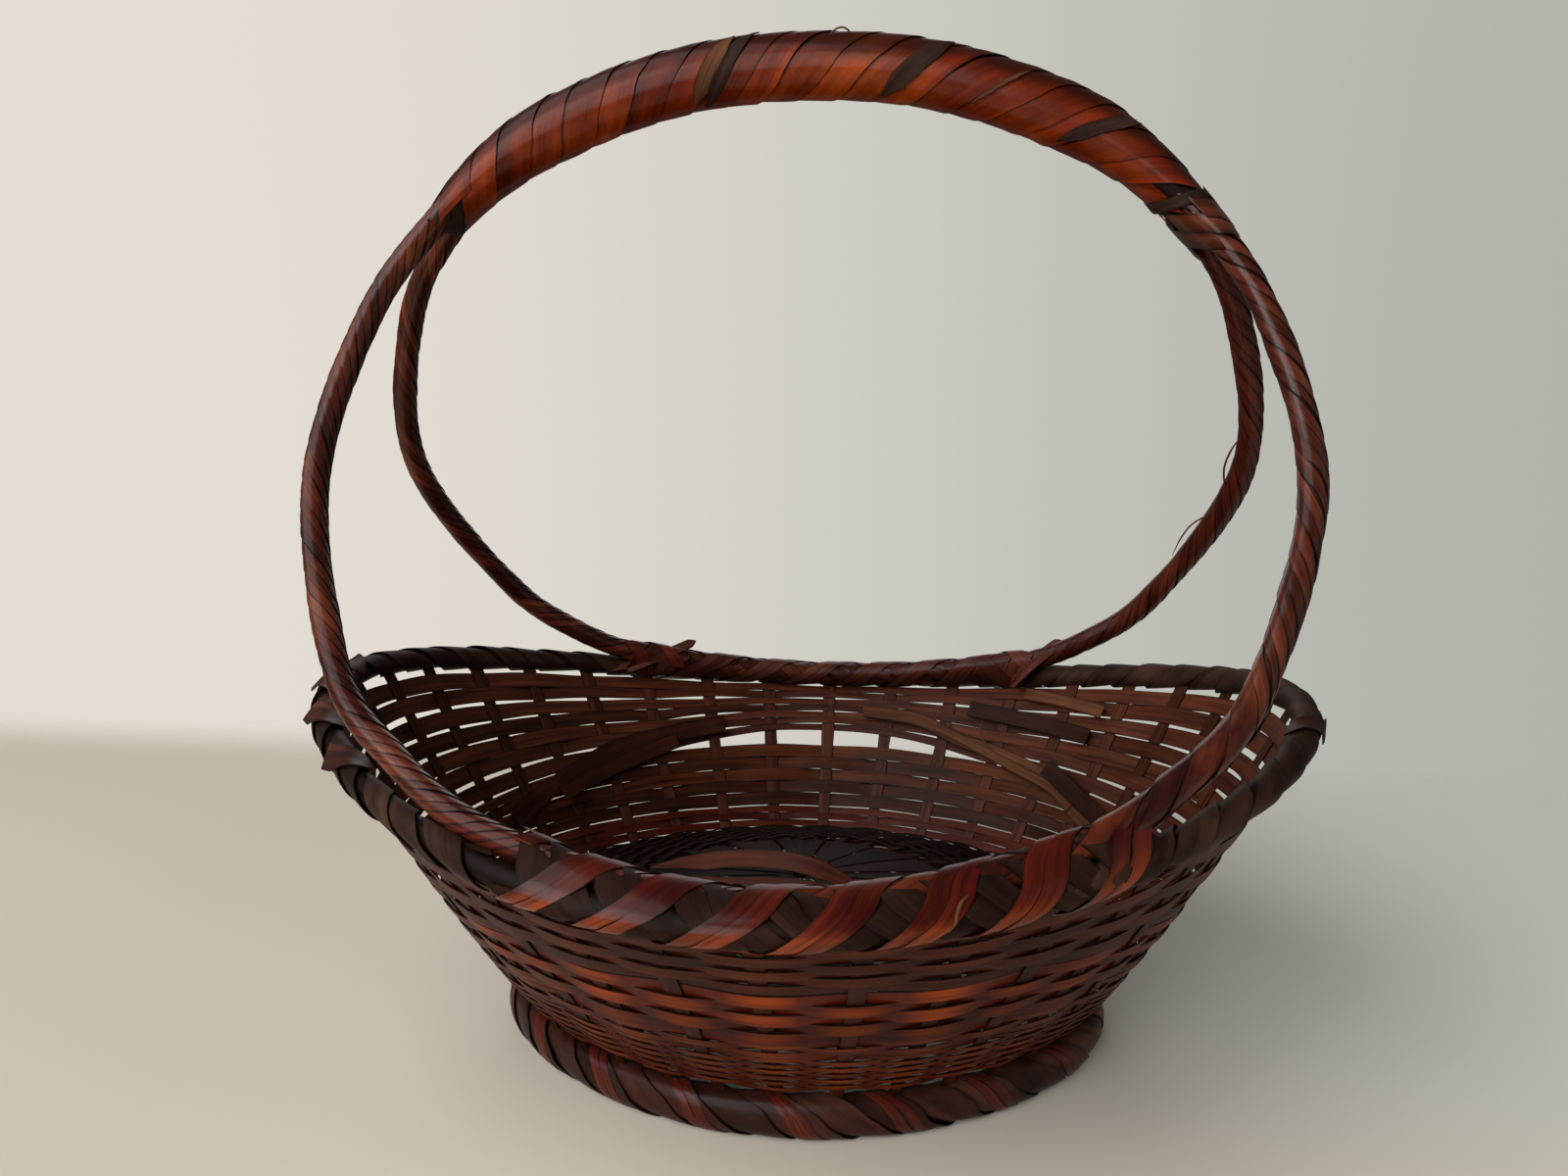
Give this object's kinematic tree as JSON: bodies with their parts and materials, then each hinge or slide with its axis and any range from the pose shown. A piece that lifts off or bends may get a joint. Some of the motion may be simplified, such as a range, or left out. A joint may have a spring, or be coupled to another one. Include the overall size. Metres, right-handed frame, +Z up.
{
  "type": "ikebana basket",
  "caption": "Oval woven bamboo flower basket with flared raised ends, a hooped foot and a round overhead handle made of two hoops.",
  "frame": {"origin": "on the table, under the centre of the basket", "axes": "+X along the oval body towards the viewer's right, -Y towards the viewer, +Z up"},
  "size_m": [0.3744, 0.3014, 0.3722],
  "materials": {
    "lacquered_red": "glossy red-brown lacquer",
    "lacquered_orange": "glossy orange-brown lacquer",
    "stained_wall": "satin dark red-brown stain",
    "stained_dark": "satin near-black stain",
    "matt_grey_brown": "matt grey-brown stain"
  },
  "bodies": {
    "root": {"spoke_01": "stained_dark", "spoke_02": "stained_dark", "spoke_03": "stained_dark", "spoke_04": "stained_dark", "spoke_05": "stained_dark", "spoke_06": "stained_dark", "spoke_07": "stained_dark", "spoke_08": "stained_dark", "spoke_09": "stained_dark", "spoke_10": "stained_dark", "spoke_11": "stained_dark", "spoke_12": "stained_dark", "spoke_13": "stained_dark", "spoke_14": "stained_dark", "spoke_15": "stained_dark", "spoke_16": "stained_dark", "spoke_17": "stained_dark", "spoke_18": "stained_dark", "skirt_weft_1": "stained_wall", "skirt_weft_2": "stained_wall", "skirt_weft_3": "stained_wall", "skirt_weft_4": "stained_wall", "skirt_weft_5": "stained_wall", "edge_weft_1": "stained_wall", "edge_weft_2": "stained_wall", "lower_weft_1": "lacquered_red", "lower_weft_2": "lacquered_red", "lower_weft_3": "lacquered_red", "lower_weft_4": "lacquered_red", "lower_weft_5": "lacquered_red", "upper_weft_1": "stained_wall", "upper_weft_2": "stained_wall", "upper_weft_3": "stained_wall", "upper_weft_4": "stained_wall", "upper_weft_5": "stained_wall", "upper_weft_6": "stained_wall", "upper_weft_7": "stained_wall", "floor_weaver_1": "stained_dark", "floor_weaver_2": "stained_dark", "rim_hoop_outer": "matt_grey_brown", "rim_hoop_inner": "matt_grey_brown", "foot_hoop_outer": "matt_grey_brown", "foot_hoop_inner": "matt_grey_brown", "rear_hoop": "lacquered_red", "front_hoop": "lacquered_red", "handle_rod_upper": "stained_dark", "handle_rod_lower": "stained_dark", "handle_wrap_1": "lacquered_orange", "handle_wrap_2": "lacquered_orange", "handle_wrap_3": "lacquered_orange", "handle_wrap_4": "lacquered_orange", "front_lashing": "lacquered_orange", "rear_lashing": "stained_wall", "front_left_joint_lashing": "stained_wall", "front_right_joint_lashing": "stained_wall", "rear_left_joint_lashing": "stained_wall", "rear_right_joint_lashing": "stained_wall", "loose_floor_strip_1": "lacquered_red", "loose_floor_strip_2": "lacquered_red"}
  },
  "joints": []
}
